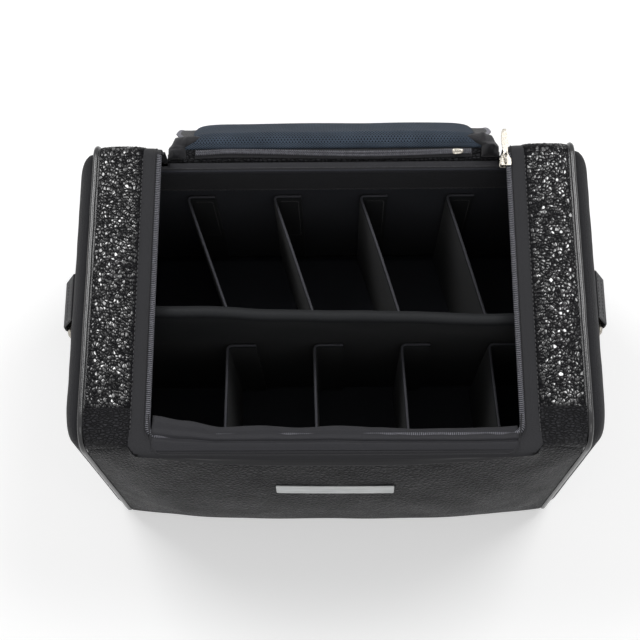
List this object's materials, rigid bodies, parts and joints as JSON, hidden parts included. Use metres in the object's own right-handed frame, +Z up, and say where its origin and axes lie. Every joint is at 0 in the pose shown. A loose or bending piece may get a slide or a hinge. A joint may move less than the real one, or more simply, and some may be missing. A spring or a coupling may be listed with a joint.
{
  "type": "grooming bag",
  "caption": "Soft-sided box bag for horse grooming tools: padded walls, sorted compartments, a zipped lid that folds back, a bare label plate, and a ring on a tab at each end for a strap.",
  "frame": {"origin": "the middle of the underside, between the two ends and on the face that the bag rests on", "axes": "+X along the bag's width towards the right-hand end seen from the front, +Y from the front to the back, +Z up"},
  "size_m": [0.4314, 0.3959, 0.2458],
  "materials": {
    "pebbled_leather": "charcoal-black pebble grain, low sheen",
    "glitter_patent": "black crinkled patent with fine bright highlights",
    "end_fabric": "matt black woven cover over foam",
    "lining_cloth": "smooth black nylon lining",
    "spacer_mesh": "blue-grey perforated spacer mesh over padding",
    "zip_tape_cloth": "woven black-grey polyester tape",
    "nylon_coil": "black nylon coil teeth",
    "piping_vinyl": "glossy black vinyl",
    "stiff_board": "hidden stiffener and foam core",
    "webbing": "black woven polypropylene webbing",
    "nickel": "satin nickel plating"
  },
  "bodies": {
    "case": {"base_panel": "pebbled_leather", "base_board": "stiff_board", "floor_lining": "lining_cloth", "front_panel": "pebbled_leather", "front_board": "stiff_board", "front_lining": "lining_cloth", "label_plate": "nickel", "back_panel": "pebbled_leather", "back_board": "stiff_board", "back_lining": "lining_cloth", "end_panel_left": "end_fabric", "end_panel_right": "end_fabric", "end_board_left": "stiff_board", "end_board_right": "stiff_board", "end_lining_left": "lining_cloth", "end_lining_right": "lining_cloth", "piping_left": "piping_vinyl", "piping_right": "piping_vinyl", "glitter_strip_left": "glitter_patent", "glitter_strip_right": "glitter_patent", "corner_patch_left": "pebbled_leather", "corner_patch_right": "pebbled_leather", "ring_tab_left": "webbing", "ring_tab_right": "webbing", "zip_tape": "zip_tape_cloth", "zip_coil": "nylon_coil", "front_binding": "pebbled_leather", "centre_divider": "lining_cloth"},
    "lid_root": {"lid_root_cover": "pebbled_leather", "lid_root_lining": "spacer_mesh", "pocket_zip": "zip_tape_cloth", "pocket_zip_coil": "nylon_coil"},
    "lid_corner": {"lid_corner_cover": "pebbled_leather", "lid_corner_lining": "spacer_mesh"},
    "lid_panel": {"lid_cover": "pebbled_leather", "lid_lining": "spacer_mesh", "lid_zip_tape": "zip_tape_cloth", "lid_zip_coil": "nylon_coil"},
    "pocket_slider": {"pocket_slider": "nickel"},
    "zip_slider": {"zip_slider": "nickel"},
    "zip_puller": {"zip_puller": "nickel"},
    "d_ring_left": {"d_ring_left": "nickel"},
    "d_ring_right": {"d_ring_right": "nickel"},
    "divider_back_1": {"divider_back_1": "lining_cloth"},
    "divider_back_2": {"divider_back_2": "lining_cloth"},
    "divider_back_3": {"divider_back_3": "lining_cloth"},
    "divider_back_4": {"divider_back_4": "lining_cloth"},
    "divider_front_1": {"divider_front_1": "lining_cloth"},
    "divider_front_2": {"divider_front_2": "lining_cloth"},
    "divider_front_3": {"divider_front_3": "lining_cloth"},
    "divider_front_4": {"divider_front_4": "lining_cloth"}
  },
  "joints": [
    {"name": "lid_hinge", "type": "hinge", "parent": "case", "child": "lid_root", "pos_m": [0, 0.1195, 0.21], "axis": [1, 0, 0], "range_deg": [0, 70]},
    {"name": "lid_corner_fold", "type": "hinge", "parent": "lid_root", "child": "lid_corner", "pos_m": [0, 0.14008, 0.21749], "axis": [1, 0, 0], "range_deg": [0, 97]},
    {"name": "lid_panel_fold", "type": "hinge", "parent": "lid_corner", "child": "lid_panel", "pos_m": [0, 0.14763, 0.21277], "axis": [1, 0, 0], "range_deg": [0, 79]},
    {"name": "pocket_slider", "type": "slide", "parent": "lid_root", "child": "pocket_slider", "axis": [1, 0, 0], "range_m": [-0.2, 0]},
    {"name": "zip_slider", "type": "slide", "parent": "case", "child": "zip_slider", "axis": [0, -1, 0], "range_m": [0, 0.19]},
    {"name": "zip_puller", "type": "hinge", "parent": "zip_slider", "child": "zip_puller", "pos_m": [0.1352, 0.1035, 0.2424], "axis": [1, 0, 0], "range_deg": [0, 170]},
    {"name": "d_ring_left", "type": "hinge", "parent": "case", "child": "d_ring_left", "pos_m": [-0.2115, 0, 0.188], "axis": [0, 1, 0], "range_deg": [0, 150]},
    {"name": "d_ring_right", "type": "hinge", "parent": "case", "child": "d_ring_right", "pos_m": [0.2115, 0, 0.188], "axis": [0, -1, 0], "range_deg": [0, 150]},
    {"name": "divider_back_1", "type": "slide", "parent": "case", "child": "divider_back_1", "axis": [0, 0, 1], "range_m": [0, 0.25]},
    {"name": "divider_back_2", "type": "slide", "parent": "case", "child": "divider_back_2", "axis": [0, 0, 1], "range_m": [0, 0.25]},
    {"name": "divider_back_3", "type": "slide", "parent": "case", "child": "divider_back_3", "axis": [0, 0, 1], "range_m": [0, 0.25]},
    {"name": "divider_back_4", "type": "slide", "parent": "case", "child": "divider_back_4", "axis": [0, 0, 1], "range_m": [0, 0.25]},
    {"name": "divider_front_1", "type": "slide", "parent": "case", "child": "divider_front_1", "axis": [0, 0, 1], "range_m": [0, 0.25]},
    {"name": "divider_front_2", "type": "slide", "parent": "case", "child": "divider_front_2", "axis": [0, 0, 1], "range_m": [0, 0.25]},
    {"name": "divider_front_3", "type": "slide", "parent": "case", "child": "divider_front_3", "axis": [-0.0995, 0, 0.995], "range_m": [0, 0.25]},
    {"name": "divider_front_4", "type": "slide", "parent": "case", "child": "divider_front_4", "axis": [-0.1961, 0, 0.9806], "range_m": [0, 0.25]}
  ],
  "couplings": [
    {"joint": "lid_corner_fold", "follows": "lid_hinge", "ratio": 1.3857},
    {"joint": "lid_panel_fold", "follows": "lid_hinge", "ratio": 1.1286}
  ]
}
